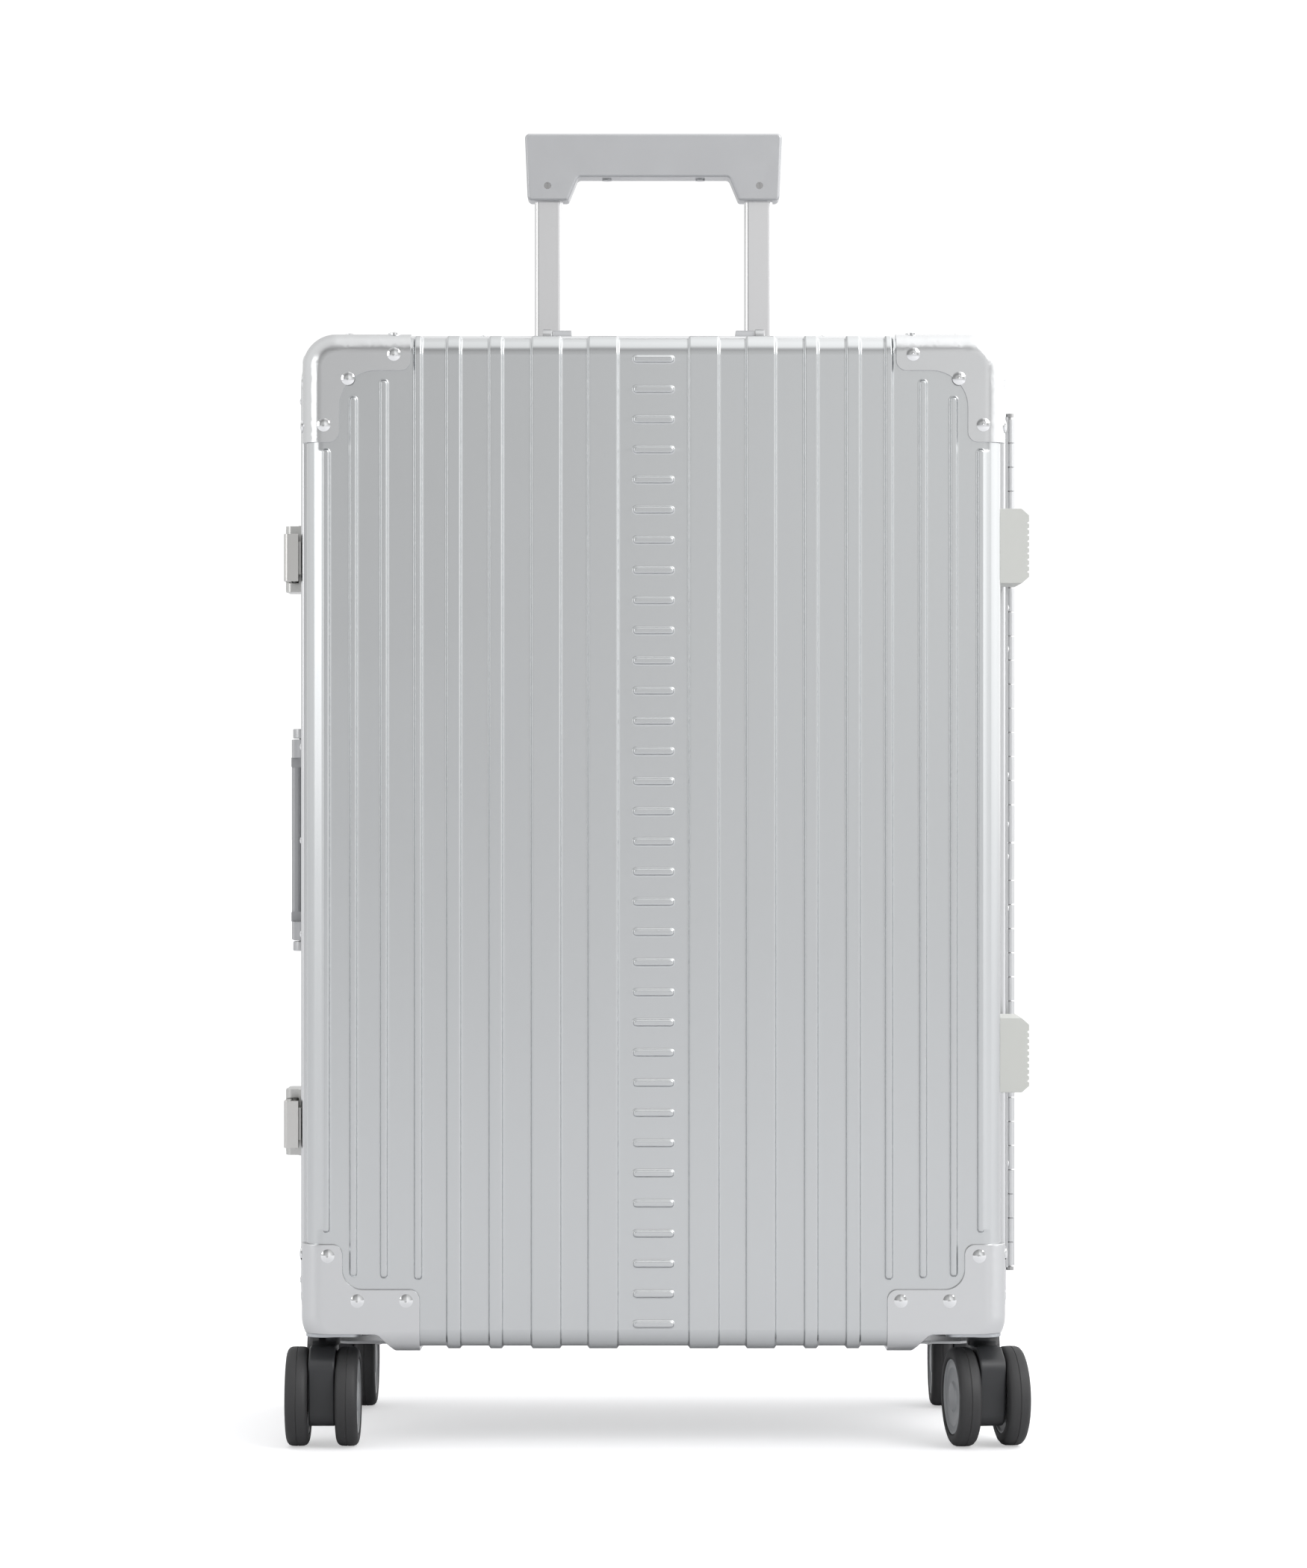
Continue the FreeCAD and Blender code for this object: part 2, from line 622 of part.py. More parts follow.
def casterFork(x, y):
    neckTop = pocketCeiling - plateThick - bossThick - swivelGap
    axleY = y - casterTrail
    outline = [(axleY - 17, 13, 9), (axleY + 10, 13, 9), (y + 14, 44, 12), (y + 12, 60, 4), (axleY - 8, 60, 6),
               (axleY - 21, 52, 8)]
    body = profile(outline, lambda u, v: V(x - forkHalf, u, v)).extrude(V(2 * forkHalf, 0, 0))
    sides = [e for e in body.Edges if abs(abs(e.CenterOfMass.x - x) - forkHalf) < 1e-4]
    body = body.makeFillet(1.2, sides)
    neck = rod(neckR, (x, y, 2 * wheelR + neckGap), (x, y, neckTop))
    stem = rod(stemR, (x, y, neckTop - 1), (x, y, pocketCeiling - 0.4))
    reach = wheelInner + 11.0
    axle = rod(axleR, (x - reach, axleY, wheelR), (x + reach, axleY, wheelR))
    return body.multiFuse([neck, stem, axle])


def casterWheel(x, y, side):
    """Tread and hub, side -1 or 1 of the fork."""
    axleY = y - casterTrail
    a = wheelInner
    b = wheelInner + wheelWidth
    section = [(a, axleR + axleFit, 0), (a, 9.0, 0), (a + 1.2, 10.0, 0), (a + 1.2, 22.0, 0), (a, 23.0, 0),
               (a, wheelR - 2.2, 0), (a + 2.2, wheelR, 1.5), (b - 2.2, wheelR, 1.5), (b, wheelR - 2.2, 0),
               (b, 23.0, 0), (b - 1.4, 21.5, 0), (b - 1.4, 0, 0), (b - 1.7, 0, 0), (b - 1.7, axleR + axleFit, 0)]
    section = [(u, v, 0) for u, v, r in section]
    face = profile(section, lambda u, v: V(x + side * u, axleY, wheelR + v))
    return face.revolve(V(x, axleY, wheelR), V(1, 0, 0), 360)


def turned(shape, x, y, angle):
    moved = shape.copy()
    moved.rotate(V(x, y, 0), V(0, 0, 1), angle)
    return moved


casters = {"fl": (-casterX, -casterY, 0.0), "fr": (casterX, -casterY, frontRightTurn),
           "bl": (-casterX, casterY, 0.0), "br": (casterX, casterY, 0.0)}
plates = {}
for key, (x, y, angle) in casters.items():
    plates[key] = casterPlate(x, y)
    save("caster_" + key + "_fork", turned(casterFork(x, y), x, y, angle))
    save("caster_" + key + "_wheel_a", turned(casterWheel(x, y, -1), x, y, angle))
    save("caster_" + key + "_wheel_b", turned(casterWheel(x, y, 1), x, y, angle))

# packing straps across the back half, with their buckles

strapThick = 1.3
straps = []
buckles = []
wallX = liningHalf - liningThick
panelY = humpY - liningThick
for z in (250.0, 450.0):
    t = strapThick
    points = [(-wallX, 60, 0), (-wallX, 60 - t, 0), (-humpHalf, panelY - t, 0), (humpHalf, panelY - t, 0),
              (wallX, 60 - t, 0), (wallX, 60, 0), (humpHalf, panelY, 0), (-humpHalf, panelY, 0)]
    straps.append(profile(points, lambda u, v: V(u, v, z - 12.5)).extrude(V(0, 0, 25)))
    points = [(-28, panelY - t - 7, 3), (28, panelY - t - 7, 3), (28, panelY - t, 0), (-28, panelY - t, 0)]
    buckles.append(profile(points, lambda u, v: V(u, v, z - 16)).extrude(V(0, 0, 32)))

save("front_shell", frontShell)
save("back_shell", backShell)
save("front_frame", frontFrame)
save("back_frame", backFrame)
save("frame_seal", frameSeal)
save("front_lining", frontLining)
save("back_lining", backLining)
save("front_top_guards", frontTopGuards)
save("front_bottom_guards", frontBottomGuards)
save("back_top_guards", flipY(frontTopGuards))
save("back_bottom_guards", flipY(frontBottomGuards))
save("front_rivets", frontRivets)
save("back_rivets", backRivets)
save("front_hinge_leaf", frontLeaf)
save("back_hinge_leaf", backLeaf)
save("hinge_pin", hingePin)
save("front_feet", frontFeet)
save("back_feet", flipY(frontFeet))
save("latch_keepers", group(keepers))
for name, z in zip(("upper", "lower"), latchZ):
    save(name + "_latch_base", latchBase(z))
    save(name + "_latch_lever", latchLever(z))
    for i in (-1, 0, 1):
        save(name + "_dial_" + str(i + 2), dial(z + i * dialPitch))
save("top_handle_blocks", topBlocks)
save("top_bail", topBail)
save("side_handle_blocks", sideBlocks)
save("side_bail", sideBail)
save("trolley_outer_tubes", outerTubes)
save("trolley_mid_tubes", midTubes)
save("trolley_inner_tubes", innerTubes)
save("trolley_bezel", bezel)
save("trolley_bracket", bracket)
save("trolley_grip", grip)
save("grip_button", button)
save("grip_screws", group(screws))
save("front_caster_plates", group([plates["fl"], plates["fr"]]))
save("back_caster_plates", group([plates["bl"], plates["br"]]))
save("packing_straps", group(straps))
save("strap_buckles", group(buckles))
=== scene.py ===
import bpy
import bmesh
import math
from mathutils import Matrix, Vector


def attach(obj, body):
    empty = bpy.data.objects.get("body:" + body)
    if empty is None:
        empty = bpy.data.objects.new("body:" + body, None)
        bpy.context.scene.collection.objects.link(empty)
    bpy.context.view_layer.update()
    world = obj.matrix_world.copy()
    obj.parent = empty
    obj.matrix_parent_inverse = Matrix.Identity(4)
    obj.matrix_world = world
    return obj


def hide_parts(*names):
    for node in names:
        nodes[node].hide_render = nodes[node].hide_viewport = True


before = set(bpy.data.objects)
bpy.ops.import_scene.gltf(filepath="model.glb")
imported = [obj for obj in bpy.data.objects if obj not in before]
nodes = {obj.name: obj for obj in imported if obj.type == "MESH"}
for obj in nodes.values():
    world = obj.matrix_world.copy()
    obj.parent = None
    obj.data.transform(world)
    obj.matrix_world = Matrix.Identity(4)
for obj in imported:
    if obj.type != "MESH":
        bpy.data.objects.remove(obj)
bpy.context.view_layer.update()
mm = 0.001


# colour and material helpers

def linear(hexColour):
    parts = [int(hexColour[i:i + 2], 16) / 255 for i in (1, 3, 5)]
    parts = [c / 12.92 if c <= 0.04045 else ((c + 0.055) / 1.055) ** 2.4 for c in parts]
    return (parts[0], parts[1], parts[2], 1.0)


def addNode(tree, kind, settings=None, inputs=None, links=None):
    node = tree.nodes.new(kind)
    for key, value in (settings or {}).items():
        setattr(node, key, value)
    for key, value in (inputs or {}).items():
        node.inputs[key].default_value = value
    for key, source in (links or {}).items():
        tree.links.new(source, node.inputs[key])
    return node


def newMaterial(name, colour, metallic, roughness, extra=None):
    material = bpy.data.materials.new(name)
    material.use_nodes = True
    tree = material.node_tree
    shader = tree.nodes["Principled BSDF"]
    shader.inputs["Base Color"].default_value = linear(colour)
    shader.inputs["Metallic"].default_value = metallic
    shader.inputs["Roughness"].default_value = roughness
    for key, value in (extra or {}).items():
        shader.inputs[key].default_value = value
    return material, tree, shader


def grain(tree, scaleXYZ, seed, detail=3.0):
    # noise in the object's own space, squeezed or stretched along each axis; scales are per metre
    coords = addNode(tree, "ShaderNodeTexCoord")
    place = addNode(tree, "ShaderNodeMapping", {},
                    {"Scale": scaleXYZ, "Location": (seed, seed * 0.7, seed * 0.3)},
                    {"Vector": coords.outputs["Object"]})
    return addNode(tree, "ShaderNodeTexNoise", {}, {"Scale": 1.0, "Detail": detail, "Roughness": 0.6},
                   {"Vector": place.outputs["Vector"]})


def spread(tree, noise, low, high):
    return addNode(tree, "ShaderNodeMapRange", {},
                   {"From Min": 0.3, "From Max": 0.7, "To Min": low, "To Max": high},
                   {"Value": noise.outputs["Fac"]})


def bumped(tree, shader, height, strength, distance):
    bump = addNode(tree, "ShaderNodeBump", {}, {"Strength": strength, "Distance": distance},
                   {"Height": height})
    tree.links.new(bump.outputs["Normal"], shader.inputs["Normal"])


def satinAluminium(name, colour, roughness, brush, depth=0.00002):
    # rolled or drawn aluminium, anodised: a broad soft glare with fine lines along the brushing
    material, tree, shader = newMaterial(name, colour, 1.0, roughness)
    lines = grain(tree, brush, 3.1)
    cloud = grain(tree, (14, 14, 14), 7.7, 2.0)
    rough = spread(tree, cloud, roughness - 0.012, roughness + 0.015)
    tree.links.new(rough.outputs["Result"], shader.inputs["Roughness"])
    bumped(tree, shader, lines.outputs["Fac"], 0.25, depth)
    return material


def mouldedPlastic(name, colour, roughness, metallic=0.0, extra=None):
    # injection moulding with a spark-eroded skin: a dull even sheen, about 0.6 mm grain so that it shows
    material, tree, shader = newMaterial(name, colour, metallic, roughness, extra or {"IOR": 1.5})
    skin = grain(tree, (1700, 1700, 1700), 1.9, 2.0)
    cloud = grain(tree, (40, 40, 40), 5.3, 3.0)
    rough = spread(tree, cloud, roughness - 0.05, roughness + 0.06)
    tree.links.new(rough.outputs["Result"], shader.inputs["Roughness"])
    bumped(tree, shader, skin.outputs["Fac"], 0.2, 0.00004)
    return material


def wovenCloth(name, colour, pitch):
    # plain weave polyester, threads drawn at pitch: matt with a faint grid and a little sheen
    material, tree, shader = newMaterial(name, colour, 0.0, 0.85, {"Sheen Weight": 0.25, "IOR": 1.5})
    coords = addNode(tree, "ShaderNodeTexCoord")
    turn = math.tau / pitch / 6.2832
    size = {"Scale": turn * 0.5, "Distortion": 0.4, "Detail": 1.0}
    warp = addNode(tree, "ShaderNodeTexWave", {"bands_direction": "X"}, size,
                   {"Vector": coords.outputs["Object"]})
    weft = addNode(tree, "ShaderNodeTexWave", {"bands_direction": "Z"}, size,
                   {"Vector": coords.outputs["Object"]})
    both = addNode(tree, "ShaderNodeMath", {"operation": "MULTIPLY"})
    tree.links.new(warp.outputs["Fac"], both.inputs[0])
    tree.links.new(weft.outputs["Fac"], both.inputs[1])
    bumped(tree, shader, both.outputs["Value"], 0.5, 0.0003)
    return material


pressedSheet = satinAluminium("anodised aluminium sheet, brushed upright", "#c6c8c9", 0.23, (2200, 2200, 18))
guardSheet = satinAluminium("anodised aluminium pressing", "#cdcecf", 0.24, (160, 160, 160))
frameBar = satinAluminium("anodised aluminium extrusion", "#cfd0d1", 0.28, (1800, 1800, 12))
drawnTube = satinAluminium("anodised drawn aluminium tube", "#d9d9da", 0.24, (1600, 1600, 10))
latchCasting = satinAluminium("zinc casting, satin nickel plate", "#c2c2c0", 0.30, (300, 300, 300))
leverSteel = satinAluminium("stainless steel, satin", "#cbcac8", 0.26, (1500, 1500, 20))
blockCasting = satinAluminium("aluminium casting, satin", "#b9babb", 0.33, (260, 260, 260))
hingeBar = satinAluminium("anodised hinge extrusion", "#c8c9ca", 0.30, (1800, 1800, 14))
rivetChrome, _, _ = newMaterial("chromed rivet head, polished", "#e4e5e6", 1.0, 0.09)
pinSteel, _, _ = newMaterial("drawn steel pin", "#a9a9a9", 1.0, 0.25)
platedSteel = satinAluminium("zinc plated steel pressing", "#b7babd", 0.32, (500, 500, 500))
gripPaint = mouldedPlastic("ABS moulding, silver metallic paint", "#b4b5b7", 0.38, 0.55,
                           {"Coat Weight": 0.15})
buttonPaint = mouldedPlastic("ABS button, silver paint", "#9c9d9f", 0.40, 0.5)
bailPlastic = mouldedPlastic("nylon moulding, silver paint", "#a9aaac", 0.42, 0.5)
bezelPlastic = mouldedPlastic("ABS moulding, mid grey", "#8b8d8f", 0.48)
footPlastic = mouldedPlastic("polypropylene, light grey", "#bfc0bc", 0.50)
forkPlastic = mouldedPlastic("glass filled nylon, black", "#2b2c2e", 0.46)
darkPlastic = mouldedPlastic("ABS, black", "#1d1e20", 0.45)
dialPlastic = mouldedPlastic("acetal dial, dark grey", "#4a4b4d", 0.40)
treadRubber = mouldedPlastic("polyurethane tread, dusty charcoal", "#2b2b2c", 0.62)
hubPlastic = mouldedPlastic("nylon hub, satin grey", "#8f9193", 0.42)
sealRubber = mouldedPlastic("EPDM rubber seal", "#161616", 0.65)
liningCloth = wovenCloth("polyester lining, plain weave", "#34363b", 0.0016)
strapWeb = wovenCloth("polypropylene webbing", "#24262a", 0.0022)
print("materials ready")


# mesh helpers

def meshPiece(name, verts, faces, material, body, replaced=(), sharp=35):
    mesh = bpy.data.meshes.new(name)
    mesh.from_pydata([tuple(v) for v in verts], [], faces)
    mesh.validate()
    work = bmesh.new()
    work.from_mesh(mesh)
    bmesh.ops.remove_doubles(work, verts=work.verts, dist=1e-6)
    bmesh.ops.recalc_face_normals(work, faces=work.faces)
    work.to_mesh(mesh)
    work.free()
    return finishPiece(name, mesh, material, body, replaced, sharp)


def finishPiece(name, mesh, material, body, replaced, sharp):
    for polygon in mesh.polygons:
        polygon.use_smooth = True
    mesh.set_sharp_from_angle(angle=math.radians(sharp))
    mesh.materials.clear()
    mesh.materials.append(material)
    piece = bpy.data.objects.new(name, mesh)
    bpy.context.scene.collection.objects.link(piece)
    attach(piece, body)
    if replaced:
        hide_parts(*replaced)
    return piece


def levelled(piece):
    # flat faces stay flat to the light, and only the small radii turn it
    even = piece.modifiers.new("level", "WEIGHTED_NORMAL")
    even.mode = "FACE_AREA"
    even.weight = 80
    even.keep_sharp = True
    return piece


def softened(node, body, material, width, segments=2, angle=32, sharp=30):
    # the machined solid with its edges broken by a small radius, as a real part has
    mesh = nodes[node].data.copy()
    mesh.name = node + "_soft"
    work = bmesh.new()
    work.from_mesh(mesh)
    bmesh.ops.remove_doubles(work, verts=work.verts, dist=2e-6)
    bmesh.ops.dissolve_limit(work, angle_limit=math.radians(0.6), verts=work.verts, edges=work.edges)
    if width > 0:
        hard = [e for e in work.edges
                if len(e.link_faces) == 2 and e.calc_face_angle(0) > math.radians(angle)]
        bmesh.ops.bevel(work, geom=hard, offset=width * mm, segments=segments, profile=0.5, affect="EDGES",
                        clamp_overlap=True)
    work.to_mesh(mesh)
    work.free()
    return levelled(finishPiece(node + "_soft", mesh, material, body, (node,), sharp))


def repaint(names, material):
    for name in names:
        for i in range(max(1, len(nodes[name].material_slots))):
            if nodes[name].material_slots:
                nodes[name].material_slots[i].material = material


# pressed half shells: one grid for the face, carried round the rolled edge and down the walls

shell = {
    "half": 207.0, "low": 61.7, "high": 663.0, "face": -125.0, "lean": 0.04, "edge": 10.5, "corner": 18.0,
    "end": -8.0, "ribRise": 1.6, "ribEnd": -18.0, "flank": 1.5, "thick": 1.2, "pocketTop": 72.2,
    "pocketX": (148.0, 162.0), "pocketY": (-42.0, -44.0),
    "ribs": [(140.0, 5.8, 101.7, 900), (118.8, 9.8, 0, 900), (93.8, 9.5, 0, 900), (63.9, 19.0, 0, 900),
             (30.0, 19.3, 0, 900), (194.7, 5.3, 129.7, 596.8), (178.5, 5.5, 103.5, 628.0),
             (160.3, 5.5, 102.6, 638.0)],
    "louvreTop": 649.7, "louvrePitch": 17.94, "louvres": 33, "louvreLong": 12.7, "louvreShort": 2.6,
    "louvreRise": 1.2,
}


def ease(t):
    t = min(1.0, max(0.0, t))
    return t * t * (3 - 2 * t)


def pillHeight(along, across, halfLong, halfShort, flank):
    # 1 on top, 0 outside a pill, eased over the flank
    reach = max(0.0, abs(along) - (halfLong - halfShort))
    away = math.hypot(reach, across) - halfShort
    return ease(-away / flank)


def faceHeight(x, z):
    s = shell
    height = 0.0
    for centre, width, low, high in s["ribs"]:
        if abs(abs(x) - centre) > width:
            continue
        middle = (low + high) / 2
        part = pillHeight(z - middle, abs(x) - centre, (high - low) / 2, width / 2, s["flank"])
        height = max(height, s["ribRise"] * part)
    if abs(x) < s["louvreLong"] + 1:
        row = round((s["louvreTop"] - z) / s["louvrePitch"])
        row = min(s["louvres"] - 1, max(0, row))
        centre = s["louvreTop"] - row * s["louvrePitch"]
        part = pillHeight(x, z - centre, s["louvreLong"], s["louvreShort"], 1.4)
        height = max(height, s["louvreRise"] * part)
    return height


def gridLines(low, high, marks, widest):
    lines = sorted({round(v, 3) for v in marks if low <= v <= high} | {low, high})
    kept = [lines[0]]
    for value in lines[1:]:
        if value - kept[-1] > 0.12 or value == high:
            kept.append(value)
    full = []
    for a, b in zip(kept, kept[1:]):
        count = max(1, math.ceil((b - a) / widest))
        full.extend(a + (b - a) * i / count for i in range(count))
    full.append(kept[-1])
    return full


def shellSkin(name, side, body, replaced):
    s = shell
    inset = s["half"] - s["edge"]
    lowIn = s["low"] + s["edge"]
    highIn = s["high"] - s["edge"]
    bend = s["corner"] - s["edge"]
    xMarks = []
    for centre, width, low, high in s["ribs"]:
        for sign in (-1, 1):
            for edge in (-1, 1):
                for t in (-0.4, 0, 0.2, 0.4, 0.6, 0.8, 1.0, 1.3):
                    xMarks.append(sign * (centre + edge * (width / 2 - s["flank"] * t)))
    for sign in (-1, 1):
        xMarks.extend(sign * v for v in (s["pocketX"][0], s["pocketX"][1], inset - bend, inset - bend / 2))
        for t in (0, 0.35, 0.7, 1.1, 1.5, 2.0, 2.6, 3.4):
            xMarks.append(sign * (s["louvreLong"] - t))
    zMarks = [lowIn + bend, lowIn + bend / 2, highIn - bend, highIn - bend / 2]
    for row in range(s["louvres"]):
        centre = s["louvreTop"] - row * s["louvrePitch"]
        for t in (3.1, 2.6, 2.3, 2.0, 1.7, 1.4, 1.2, 0.8):
            zMarks.extend((centre - t, centre + t))
    for centre, width, low, high in s["ribs"]:
        for t in (-0.4, 0, 0.3, 0.6, 1.0, 1.4, 1.8, 2.3, 2.9):
            zMarks.extend((low + t, high - t))
    xs = gridLines(-inset, inset, xMarks, 9.0)
    zs = gridLines(lowIn, highIn, zMarks, 9.0)
    verts = []
    faces = []

    def put(x, y, z):
        if abs(x) > s["pocketX"][0] and y < s["pocketY"][0] and z < s["pocketTop"]:
            blend = min(1.0, (abs(x) - s["pocketX"][0]) / (s["pocketX"][1] - s["pocketX"][0]))
            z = max(z, z + (s["pocketTop"] - z) * blend)
        verts.append(Vector((x * mm, y * side * -1 * mm, z * mm)))
        return len(verts) - 1

    def bent(x, z):
        # rounds the four corners of the face grid
        cx = max(0.0, abs(x) - (inset - bend))
        cz = max(0.0, z - (highIn - bend), (lowIn + bend) - z)
        if cx == 0 or cz == 0:
            return x, z
        scale = max(cx, cz) / math.hypot(cx, cz)
        nx = math.copysign(inset - bend + cx * scale, x)
        nz = highIn - bend + cz * scale if z > 300 else lowIn + bend - cz * scale
        return nx, nz

    table = []
    for x in xs:
        column = []
        for z in zs:
            px, pz = bent(x, z)
            column.append(put(px, s["face"] - faceHeight(px, pz), pz))
        table.append(column)
    for i in range(len(xs) - 1):
        for j in range(len(zs) - 1):
            faces.append((table[i][j], table[i + 1][j], table[i + 1][j + 1], table[i][j + 1]))

    # the border of the face, once round
    lastX = len(xs) - 1
    lastZ = len(zs) - 1
    loop = [(i, 0) for i in range(lastX)] + [(lastX, j) for j in range(lastZ)]
    loop += [(i, lastZ) for i in range(lastX, 0, -1)] + [(0, j) for j in range(lastZ, 0, -1)]
    rings = [[table[i][j] for i, j in loop]]
    spots = []
    for i, j in loop:
        x, z = bent(xs[i], zs[j])
        cx = math.copysign(max(0.0, abs(x) - (inset - bend)), x)
        cz = max(0.0, z - (highIn - bend)) - max(0.0, (lowIn + bend) - z)
        if j in (0, lastZ) and abs(cx) < 1e-6:
            out = Vector((0, 1 if j else -1))
        elif i in (0, lastX) and abs(cz) < 1e-6:
            out = Vector((1 if i else -1, 0))
        else:
            out = Vector((cx, cz)).normalized()
        spots.append((x, z, out))
    yStops = [s["face"] + s["edge"] + v for v in (8, 20, 35, 50)]
    yStops += [-44.0, -42.0, -30.0, -20.6, -19.7, -18.8, -18.0, s["end"]]
    stations = []
    for k in range(1, 9):
        angle = math.pi / 2 * k / 8
        stations.append((s["edge"] * math.sin(angle), s["face"] + s["edge"] * (1 - math.cos(angle)), angle))
    for y in yStops:
        stations.append((s["edge"] + s["lean"] * (y - s["face"] - s["edge"]), y, math.pi / 2))
    for reach, y, angle in stations:
        ring = []
        for x, z, out in spots:
            rise = 0.0
            if abs(out.x) < 0.2:
                rise = faceHeight(x, z) * ease((s["ribEnd"] - y) / 2.6)
            px = x + out.x * (reach + rise * math.sin(angle))
            pz = z + out.y * (reach + rise * math.sin(angle))
            ring.append(put(px, y - rise * math.cos(angle), pz))
        rings.append(ring)
    count = len(loop)
    for a, b in zip(rings, rings[1:]):
        for k in range(count):
            faces.append((a[k], a[(k + 1) % count], b[(k + 1) % count], b[k]))
    if side > 0:
        faces = [tuple(reversed(f)) for f in faces]
    piece = meshPiece(name, verts, faces, pressedSheet, body, replaced, sharp=60)
    solid = piece.modifiers.new("sheet", "SOLIDIFY")
    solid.thickness = s["thick"] * mm
    solid.offset = -1
    return levelled(piece)


shellSkin("front_shell_skin", 1, "front_case", ("front_shell",))
shellSkin("back_shell_skin", -1, "back_case", ("back_shell",))
print("shells pressed")


# wheels: tread, hub and cap turned about the axle

wheel = {
    "radius": 29.7, "inner": 8.3, "width": 13.2, "trail": 9.0, "turn": 9.0,
    "axes": {"fl": (-198, -91, 0), "fr": (198, -91, 9), "bl": (-198, 91, 0), "br": (198, 91, 0)},
    "tread": [(0.0, 22.4), (0.0, 26.6), (0.5, 27.9), (1.5, 29.0), (3.0, 29.55), (6.2, 29.7), (6.35, 29.55),
              (6.6, 29.4), (6.85, 29.55), (7.0, 29.7), (10.2, 29.55), (11.7, 29.0),
              (12.7, 27.9), (13.2, 26.6),
              (13.2, 23.6), (12.9, 23.2), (12.3, 22.9), (12.3, 22.4)],
    "hub": [(1.2, 3.1), (0.4, 3.1), (0.2, 9.0), (1.4, 9.8), (1.6, 20.6), (0.6, 21.4),
            (0.4, 22.35), (12.6, 22.35),
            (12.75, 21.9), (12.4, 21.3), (11.9, 20.9), (11.7, 18.2), (11.9, 17.8), (11.9, 17.2), (11.6, 16.8),
            (11.5, 9.4), (11.9, 8.9), (12.5, 8.5), (12.8, 7.6), (12.9, 0.0)],
}


def turnedPiece(name, profile, centre, axis, side, material, body, replaced, closed, steps=72):
    verts = []
    faces = []
    axis = Vector(axis).normalized()
    across = axis.cross(Vector((0, 0, 1))).normalized()
    up = Vector((0, 0, 1))
    rows = []
    for along, radius in profile:
        base = Vector(centre) + axis * (side * along * mm)
        if radius < 1e-6:
            verts.append(base)
            rows.append([len(verts) - 1] * steps)
            continue
        row = []
        for k in range(steps):
            angle = math.tau * k / steps
            verts.append(base + (across * math.cos(angle) + up * math.sin(angle)) * radius * mm)
            row.append(len(verts) - 1)
        rows.append(row)
    pairs = list(zip(rows, rows[1:]))
    if closed:
        pairs.append((rows[-1], rows[0]))
    for a, b in pairs:
        for k in range(steps):
            n = (k + 1) % steps
            corner = [a[k], a[n], b[n], b[k]]
            unique = []
            for c in corner:
                if c not in unique:
                    unique.append(c)
            if len(unique) > 2:
                faces.append(tuple(unique))
    return meshPiece(name, verts, faces, material, body, replaced, sharp=38)


for key, (x, y, turn) in wheel["axes"].items():
    t = math.radians(turn)
    axis = Vector((math.cos(t), math.sin(t), 0))
    hubAt = Vector((x + wheel["trail"] * math.sin(t), y - wheel["trail"] * math.cos(t), wheel["radius"])) * mm
    for letter, side in (("a", -1), ("b", 1)):
        name = "caster_" + key + "_wheel_" + letter
        start = hubAt + axis * side * wheel["inner"] * mm
        turnedPiece(name + "_tread", wheel["tread"], start, axis, side, treadRubber, name,
                    (name,), True)
        turnedPiece(name + "_hub", wheel["hub"], start, axis, side, hubPlastic, name, (), False)
    softened("caster_" + key + "_fork", "caster_" + key, forkPlastic, 0.0)
print("casters fitted")


# hard parts with broken edges: node, body, record slot, material, edge radius in mm

hardParts = [
    ("front_top_guards", "front_case", "guard", guardSheet, 0.8),
    ("front_bottom_guards", "front_case", "guard", guardSheet, 0.8),
    ("back_top_guards", "back_case", "guard", guardSheet, 0.8),
    ("back_bottom_guards", "back_case", "guard", guardSheet, 0.8),
    ("front_feet", "front_case", "foot", footPlastic, 0.3),
    ("back_feet", "back_case", "foot", footPlastic, 0.3),
    ("upper_latch_base", "back_case", "latch", latchCasting, 0.3),
    ("lower_latch_base", "back_case", "latch", latchCasting, 0.3),
    ("upper_latch_lever", "upper_latch", "lever", leverSteel, 0.35),
    ("lower_latch_lever", "lower_latch", "lever", leverSteel, 0.35),
    ("latch_keepers", "front_case", "latch", latchCasting, 0.3),
    ("top_handle_blocks", "back_case", "handle_block", blockCasting, 0.5),
    ("side_handle_blocks", "back_case", "handle_block", blockCasting, 0.5),
    ("top_bail", "top_handle", "bail", bailPlastic, 0.6),
    ("side_bail", "side_handle", "bail", bailPlastic, 0.6),
    ("trolley_bezel", "back_case", "bezel", bezelPlastic, 0.0),
    ("trolley_grip", "trolley_upper", "grip", gripPaint, 0.0),
    ("grip_button", "release_button", "button", buttonPaint, 0.4),
    ("strap_buckles", "back_case", "buckle", darkPlastic, 0.6),
]
for node, body, slotName, material, width in hardParts:
    softened(node, body, material, width)

repaint(["front_frame", "back_frame"], frameBar)
repaint(["trolley_outer_tubes", "trolley_mid_tubes", "trolley_inner_tubes"], drawnTube)
repaint(["front_rivets", "back_rivets"], rivetChrome)
repaint(["front_hinge_leaf", "back_hinge_leaf"], hingeBar)
repaint(["hinge_pin", "grip_screws"], pinSteel)
repaint(["front_caster_plates", "back_caster_plates"], platedSteel)
repaint(["frame_seal"], sealRubber)
repaint(["front_lining", "back_lining"], liningCloth)
repaint(["packing_straps"], strapWeb)
repaint(["trolley_bracket"], darkPlastic)
repaint([n for n in nodes if "_dial_" in n], dialPlastic)
print("hard parts finished")


# studio

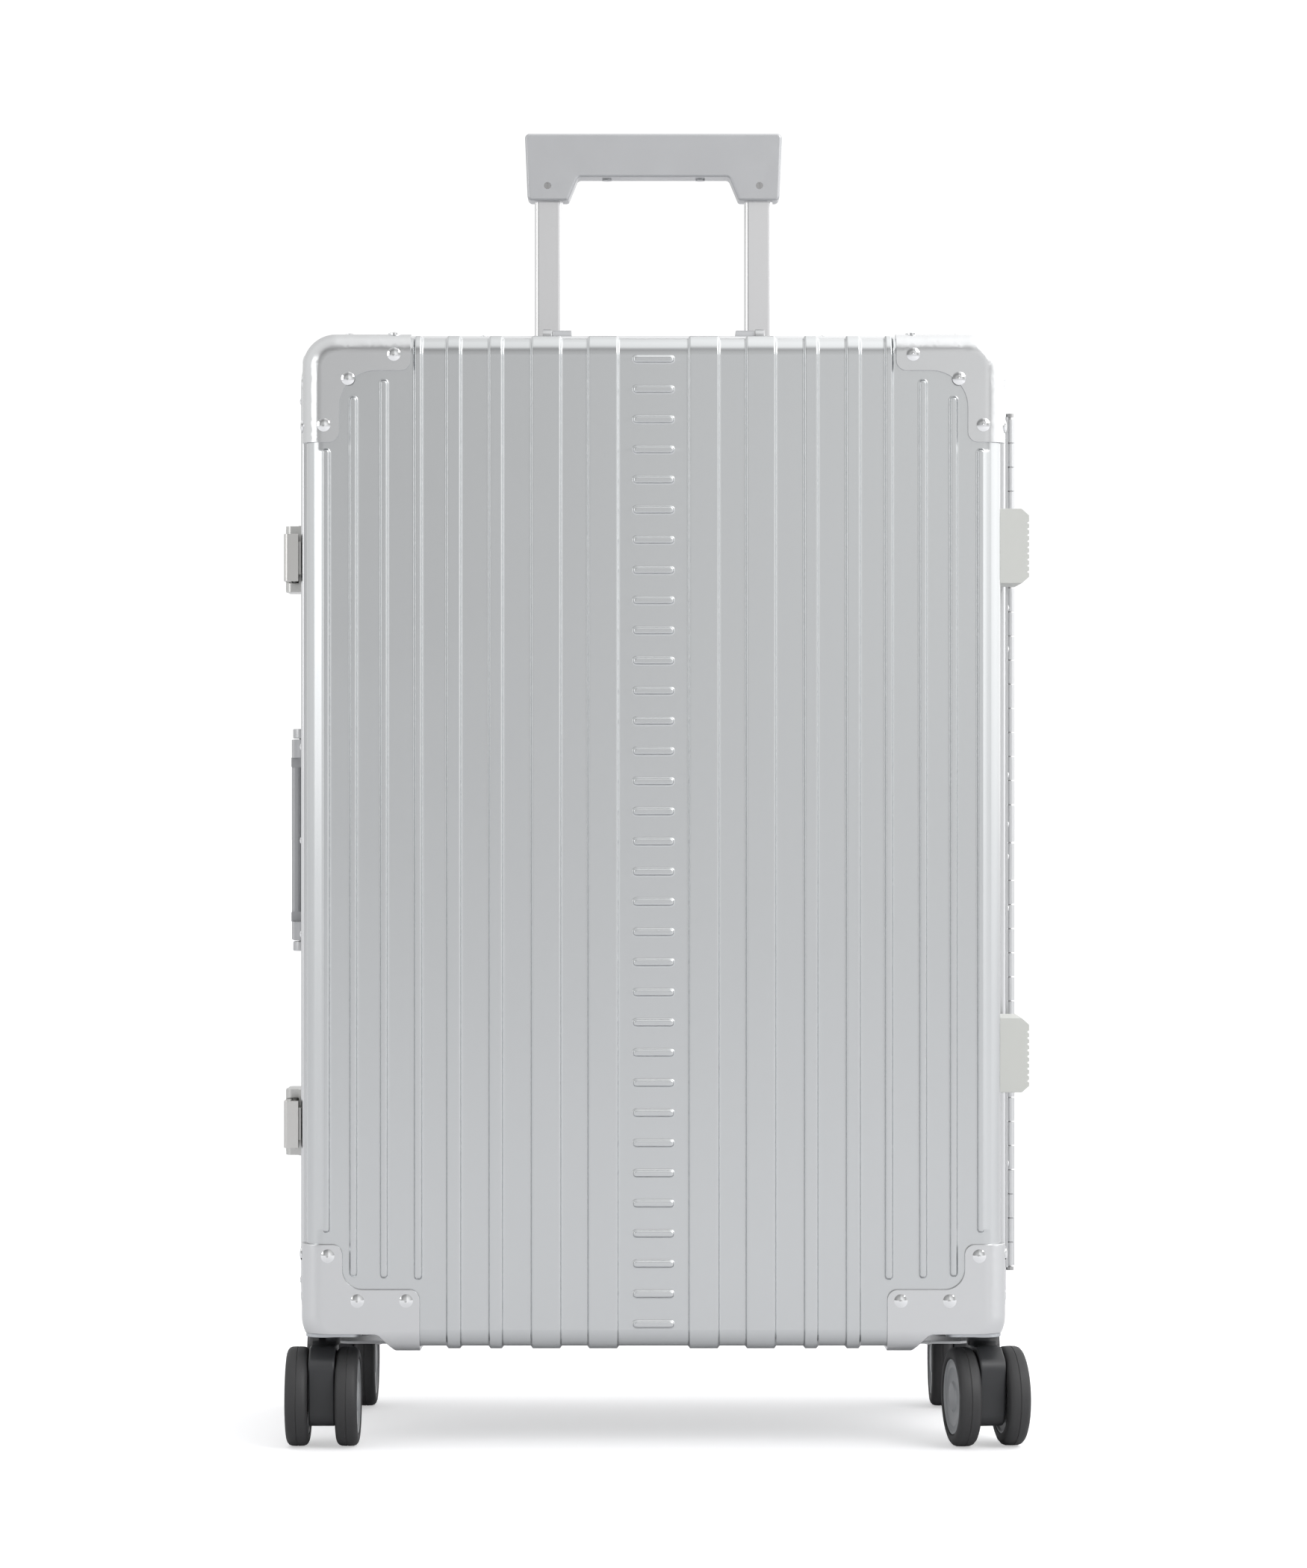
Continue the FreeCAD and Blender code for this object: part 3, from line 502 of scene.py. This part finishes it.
studio = {
    "cameraAt": (0.0, -2.905, 0.397), "lens": 107.3, "worldLight": 1.1,
    # what the metal sees, by how far round from the front: room strength at each heading
    "room": [(0.0, 0.78), (0.03, 0.70), (0.10, 0.33), (0.22, 1.2), (0.5, 1.3), (1.0, 1.0)],
    "leftDim": 0.82, "rightBright": 1.45,
    "key": ((2.3, -2.6, 2.6), 1.8, 62), "fill": ((-2.6, -2.2, 1.2), 1.6, 12),
    "floorColour": "#d2d2d4", "floorGlow": 0.46,
}


def addLamp(name, place, target, size, power):
    lamp = bpy.data.lights.new(name, "AREA")
    lamp.shape = "SQUARE"
    lamp.size = size
    lamp.energy = power
    thing = bpy.data.objects.new(name, lamp)
    thing.location = place
    thing.rotation_euler = (Vector(target) - Vector(place)).to_track_quat("-Z", "Y").to_euler()
    bpy.context.scene.collection.objects.link(thing)
    return thing


camera = bpy.data.cameras.new("camera")
camera.lens = studio["lens"]
camera.sensor_width = 36
camera.clip_end = 200
cameraThing = bpy.data.objects.new("camera", camera)
cameraThing.location = studio["cameraAt"]
cameraThing.rotation_euler = (math.pi / 2, 0, 0)
bpy.context.scene.collection.objects.link(cameraThing)
bpy.context.scene.camera = cameraThing

world = bpy.data.worlds.new("studio")
world.use_nodes = True
air = world.node_tree
sky = air.nodes["Background"]
# white to the eye; the metal sees a greyer room in front of it and bright screens to both sides
heading = addNode(air, "ShaderNodeTexCoord")
parts = addNode(air, "ShaderNodeSeparateXYZ", {}, {}, {"Vector": heading.outputs["Generated"]})
turnedAway = addNode(air, "ShaderNodeMapRange", {}, {"From Min": -1.0, "From Max": 1.0},
                     {"Value": parts.outputs["Y"]})
room = addNode(air, "ShaderNodeValToRGB", {}, {}, {"Fac": turnedAway.outputs["Result"]})
steps = room.color_ramp.elements
while len(steps) < len(studio["room"]):
    steps.new(0.5)
for step, (place, level) in zip(steps, studio["room"]):
    step.position = place
    step.color = (level, level, level, 1)
right = addNode(air, "ShaderNodeMapRange", {"interpolation_type": "SMOOTHSTEP"},
                {"From Min": -0.10, "From Max": 0.12,
                 "To Min": studio["leftDim"], "To Max": studio["rightBright"]},
                {"Value": parts.outputs["X"]})
tint = addNode(air, "ShaderNodeMath", {"operation": "MULTIPLY"})
air.links.new(room.outputs["Color"], tint.inputs[0])
air.links.new(right.outputs["Result"], tint.inputs[1])
seen = addNode(air, "ShaderNodeLightPath")
power = addNode(air, "ShaderNodeMix", {"data_type": "FLOAT"}, {}, {"Factor": seen.outputs["Is Camera Ray"],
                                                                    "A": tint.outputs["Value"]})
power.inputs["B"].default_value = studio["worldLight"]
sky.inputs["Color"].default_value = (1, 1, 1, 1)
air.links.new(power.outputs["Result"], sky.inputs["Strength"])
bpy.context.scene.world = world
bpy.context.scene.view_settings.view_transform = "Standard"

# the floor is lit up to white for the eye alone, so that it doesn't wash out the metal above it
floorMaterial, ground, paint = newMaterial("painted studio floor, matt", studio["floorColour"], 0.0, 0.8,
                                           {"Emission Color": (1, 1, 1, 1)})
looking = addNode(ground, "ShaderNodeLightPath")
glow = addNode(ground, "ShaderNodeMath", {"operation": "MULTIPLY"})
ground.links.new(looking.outputs["Is Camera Ray"], glow.inputs[0])
glow.inputs[1].default_value = studio["floorGlow"]
ground.links.new(glow.outputs["Value"], paint.inputs["Emission Strength"])
floorMesh = bpy.data.meshes.new("floor")
far = 30.0
floorMesh.from_pydata([(-far, -far, 0), (far, -far, 0), (far, far, 0), (-far, far, 0)], [], [(0, 1, 2, 3)])
floorMesh.materials.append(floorMaterial)
floor = bpy.data.objects.new("floor", floorMesh)
bpy.context.scene.collection.objects.link(floor)

place, size, power = studio["key"]
addLamp("key", place, (0, 0, 0.4), size, power)
place, size, power = studio["fill"]
addLamp("fill", place, (0, 0, 0.4), size, power)
print("studio lit")
